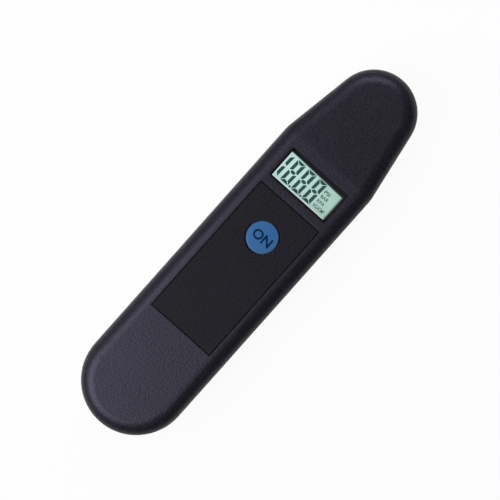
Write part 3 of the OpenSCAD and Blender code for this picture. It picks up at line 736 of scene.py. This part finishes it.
button_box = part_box("on_button")
button_axis = Vector(((button_box[0].x + button_box[1].x) / 2, 0, 0))
cap_r = 5.1 * mm
crown = 0.15 * mm
rim_r = 0.6 * mm
rim_band_w = 0.75 * mm
cap_top = button_box[1].z - crown
flange_r = button_box[1].x - button_axis.x
stem_r = 1.6 * mm
flange_low = 17.2 * mm
flange_high = 17.9 * mm

button_plastic, shader, place = start_finish("button_plastic", {"Specular IOR Level": 0.16})
swirl = speckle(place, 240, 3)
satin = speckle(place, 5200, 2)
# The rim band is painted greyer, partly as wear and partly as a painted highlight on the rounded rim.
rim_wear_and_highlight = from_axis(place, button_axis) > cap_r - rim_band_w
face_colour = tint(swirl, srgb(33, 81, 130), srgb(43, 90, 141))
tint(0.5 * rim_wear_and_highlight, face_colour, srgb(68, 88, 114)).to(shader, "Base Color")
(0.46 + 0.14 * satin).to(shader, "Roughness")
relief(satin, 0.02 * mm, 0.4).to(shader, "Normal")

profile = [
    (0, button_box[0].z), (stem_r, button_box[0].z), (stem_r, flange_low), (flange_r, flange_low),
    (flange_r, flange_high), (cap_r, flange_high),
]
rim_steps = 8
for i in range(rim_steps + 1):
    turn = math.radians(90 * i / rim_steps)
    profile.append((cap_r - rim_r + rim_r * math.cos(turn), cap_top - rim_r + rim_r * math.sin(turn)))
crown_steps = 10
for i in range(1, crown_steps + 1):
    out = 1 - i / crown_steps
    profile.append(((cap_r - rim_r) * out, cap_top + crown * (1 - out * out)))
shape = bmesh.new()
points = [shape.verts.new(button_axis + Vector((r, 0, z))) for r, z in profile]
line = [shape.edges.new(pair) for pair in zip(points, points[1:])]
bmesh.ops.spin(
    shape, geom=points + line, cent=button_axis, axis=(0, 0, 1), angle=2 * math.pi, steps=96,
    use_merge=True,
)
bmesh.ops.remove_doubles(shape, verts=shape.verts, dist=0.001 * mm)
bmesh.ops.recalc_face_normals(shape, faces=shape.faces)
even_out(shape, 40)
cap = add_piece("on_button_finish", shape, button_plastic, "button", "on_button")
soften(cap, 0.06 * mm)


# Button lettering: the word ON, pad printed in navy on the crowned face, in the plain capitals
# that any switch carries.

print_ink, shader, place = start_finish("print_ink", {"Specular IOR Level": 0.03})
worn = speckle(place, 2600, 3)
tint(worn, srgb(3, 24, 54), srgb(6, 34, 70)).to(shader, "Base Color")
(0.45 + 0.15 * worn).to(shader, "Roughness")
relief(worn, 0.004 * mm, 0.4).to(shader, "Normal")

word_h = 3.15 * mm
word_weight = 0.024
word_foot = -1.5 * mm
ink_lift = 0.004 * mm
ink_film = 0.012 * mm
longest_edge = 0.5 * mm
word = lettering("ON", word_h, word_weight)
reach = [v.co.x for v in word.vertices]
spot = button_axis + Vector((word_foot, (max(reach) + min(reach)) / 2, 0))
word.transform(Matrix.Translation(spot) @ reading_turn)
shape = bmesh.new()
shape.from_mesh(word)
bmesh.ops.triangulate(shape, faces=shape.faces)
long_edges = [e for e in shape.edges if e.calc_length() > longest_edge]
bmesh.ops.subdivide_edges(shape, edges=long_edges, cuts=2, use_grid_fill=True)
for vert in shape.verts:
    out = (Vector((vert.co.x, vert.co.y, 0)) - button_axis).length / (cap_r - rim_r)
    vert.co.z = cap_top + crown * (1 - out * out) + ink_lift
print_film(shape, ink_film)
add_piece("button_word", shape, print_ink, "button")


# Coin cell: a drawn stainless can crimped over a dark gasket round its cap. It drops into the
# well from behind and is held by the cover.

cell_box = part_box("coin_cell")
cell_axis = Vector(((cell_box[0].x + cell_box[1].x) / 2, 0, 0))
gasket_r = (8.7 * mm, 9.12 * mm)
gasket_h = 0.7 * mm
cell_steel, shader, place = start_finish("cell_steel", {"Specular IOR Level": 0.5})
radius = from_axis(place, cell_axis)
gasket = (radius > gasket_r[0]) * (radius < gasket_r[1])
gasket = gasket * (parts_of(place)[2] > cell_box[1].z - gasket_h)
drawn = speckle(stretched(place, (1, 14, 1)), 520, 4)
handling = speckle(place, 180, 4)
tint(gasket, tint(drawn, srgb(204, 205, 206), srgb(180, 181, 184)), srgb(48, 50, 54)).to(
    shader, "Base Color"
)
(1 - gasket).to(shader, "Metallic")
(0.2 + 0.14 * drawn + 0.14 * handling + 0.2 * gasket).to(shader, "Roughness")
relief(drawn, 0.004 * mm, 0.5).to(shader, "Normal")

dress("coin_cell", cell_steel, "gauge", radius=0.06 * mm)


# Battery contacts: two leaves of plated spring sheet, bent up and soldered to the board. One
# bears on the cell's rim and the other on its cap.

contact_metal, shader, place = start_finish("contact_metal", {"Metallic": 1.0})
rolled = speckle(stretched(place, (1, 9, 1)), 1600, 2)
plating = speckle(place, 300, 3)
tint(plating, srgb(214, 202, 174), srgb(190, 174, 140)).to(shader, "Base Color")
(0.24 + 0.16 * rolled).to(shader, "Roughness")
relief(rolled, 0.004 * mm, 0.5).to(shader, "Normal")

for contact in ("positive_contact", "negative_contact"):
    dress(contact, contact_metal, "gauge", radius=0.03 * mm)


# Battery cover: a round cap in the case plastic with a coin slot and three bayonet tabs. It is
# pushed into the back and turned until the tabs lock behind the rim.

dress("battery_cover", case_plastic, "battery_door", radius=0.12 * mm)


# Screws: plated steel with cross recesses. Four close the case from the back, down in their
# counterbores, and four smaller ones hold the board to the front shell.

screw_steel, shader, place = start_finish("screw_steel", {"Metallic": 1.0})
zinc = speckle(place, 1300, 4)
rub = speckle(place, 6000, 2)
tint(zinc, srgb(186, 188, 194), srgb(146, 148, 155)).to(shader, "Base Color")
(0.26 + 0.2 * zinc).to(shader, "Roughness")
relief(rub, 0.008 * mm, 0.5).to(shader, "Normal")

for screws in ("case_screws", "board_screws"):
    dress(screws, screw_steel, "gauge", radius=0.06 * mm)


# Floor: a plain white sheet. The camera sees it white with a little of its own shading, which keeps
# the shadow, and reflections see more of that shading. From below it is clear and lets light pass,
# so that the back can be looked at.

sheet_half = 3.0
paper_grey = (0.58, 0.58, 0.58, 1.0)
whiteness = 0.95
whiteness_in_gloss = 0.1
shape = bmesh.new()
bmesh.ops.create_grid(shape, x_segments=8, y_segments=8, size=sheet_half)
floor_mesh = bpy.data.meshes.new("floor")
shape.to_mesh(floor_mesh)
shape.free()
floor = bpy.data.objects.new("floor", floor_mesh)
bpy.context.collection.objects.link(floor)
floor.visible_shadow = False
floor_finish = bpy.data.materials.new("floor_white")
floor_finish.use_nodes = True
nodes = floor_finish.node_tree.nodes
nodes.remove(nodes["Principled BSDF"])
seen = Wire(nodes.new("ShaderNodeLightPath").outputs["Is Camera Ray"])
rays = seen.socket.node.outputs
through = Wire(rays["Is Transmission Ray"])
direct = seen + whiteness_in_gloss * Wire(rays["Is Glossy Ray"]) + through
paper = seen.node("ShaderNodeBsdfDiffuse", {}, {"Color": paper_grey})
white = seen.node("ShaderNodeEmission", {}, {"Color": (1, 1, 1, 1), "Strength": 1.0})
lit = seen.node("ShaderNodeMixShader", {}, {0: whiteness * direct, 1: paper, 2: white})
open_sheet = seen.node("ShaderNodeBsdfTransparent", {}, {})
underside = Wire(nodes.new("ShaderNodeNewGeometry").outputs["Backfacing"])
sheet = seen.node("ShaderNodeMixShader", {}, {0: underside, 1: lit, 2: open_sheet})
sheet.to(nodes["Material Output"], "Surface")
floor_mesh.materials.append(floor_finish)


# Studio light: a large soft lamp above the rear left, a weak low strip at the left side, a narrow
# lamp by the nose, a broad lamp under the floor for views of the back, and a weak even surround.

def area_lamp(name, spot, aim, width, height, power):
    """A soft rectangular lamp, aimed at a point and out of the camera's sight."""
    lamp = bpy.data.lights.new(name, "AREA")
    lamp.shape = "RECTANGLE"
    lamp.size = width
    lamp.size_y = height
    lamp.energy = power
    holder = bpy.data.objects.new(name, lamp)
    holder.location = spot
    holder.rotation_euler = (Vector(aim) - Vector(spot)).to_track_quat("-Z", "Y").to_euler()
    holder.visible_camera = False
    bpy.context.collection.objects.link(holder)


area_lamp("key", (-0.218, 0.157, 0.392), (-0.03, 0, 0.01), 0.39, 0.39, 3.08)
area_lamp("side", (-0.1, 0.32, 0.06), (-0.04, 0.017, 0.014), 0.3, 0.06, 0.05)
area_lamp("rim", (0.181, 0.083, 0.135), (0.057, 0, 0.018), 0.16, 0.04, 0.21)
area_lamp("under", (-0.1, 0.15, -0.4), (0, 0, 0), 0.45, 0.45, 3.0)
surround = bpy.data.worlds.new("surround")
surround.use_nodes = True
sky = surround.node_tree.nodes["Background"]
sky.inputs["Color"].default_value = (1, 1, 1, 1)
sky.inputs["Strength"].default_value = 0.07
bpy.context.scene.world = surround


# Camera: a long lens straight over the gauge, leaning a degree or so, turned so that the nose
# points to the upper right.

aim = Vector((-0.1 * mm, 0.5 * mm, 9 * mm))
distance = 1.5
frame_width = 153.63 * mm
lean = Vector((0.025, -0.016, 1))
sensor = 36
eye = aim + distance * lean.normalized()
heading = math.radians(48.34)
image_up = Vector((math.sin(heading), math.cos(heading), 0))
back = (eye - aim).normalized()
right = image_up.cross(back).normalized()
camera_data = bpy.data.cameras.new("camera")
camera_data.sensor_width = sensor
camera_data.lens = sensor * distance / frame_width
camera = bpy.data.objects.new("camera", camera_data)
turn = Matrix((right, back.cross(right), back)).transposed()
camera.matrix_world = Matrix.Translation(eye) @ turn.to_4x4()
bpy.context.collection.objects.link(camera)
bpy.context.scene.camera = camera
bpy.context.scene.view_settings.view_transform = "Standard"
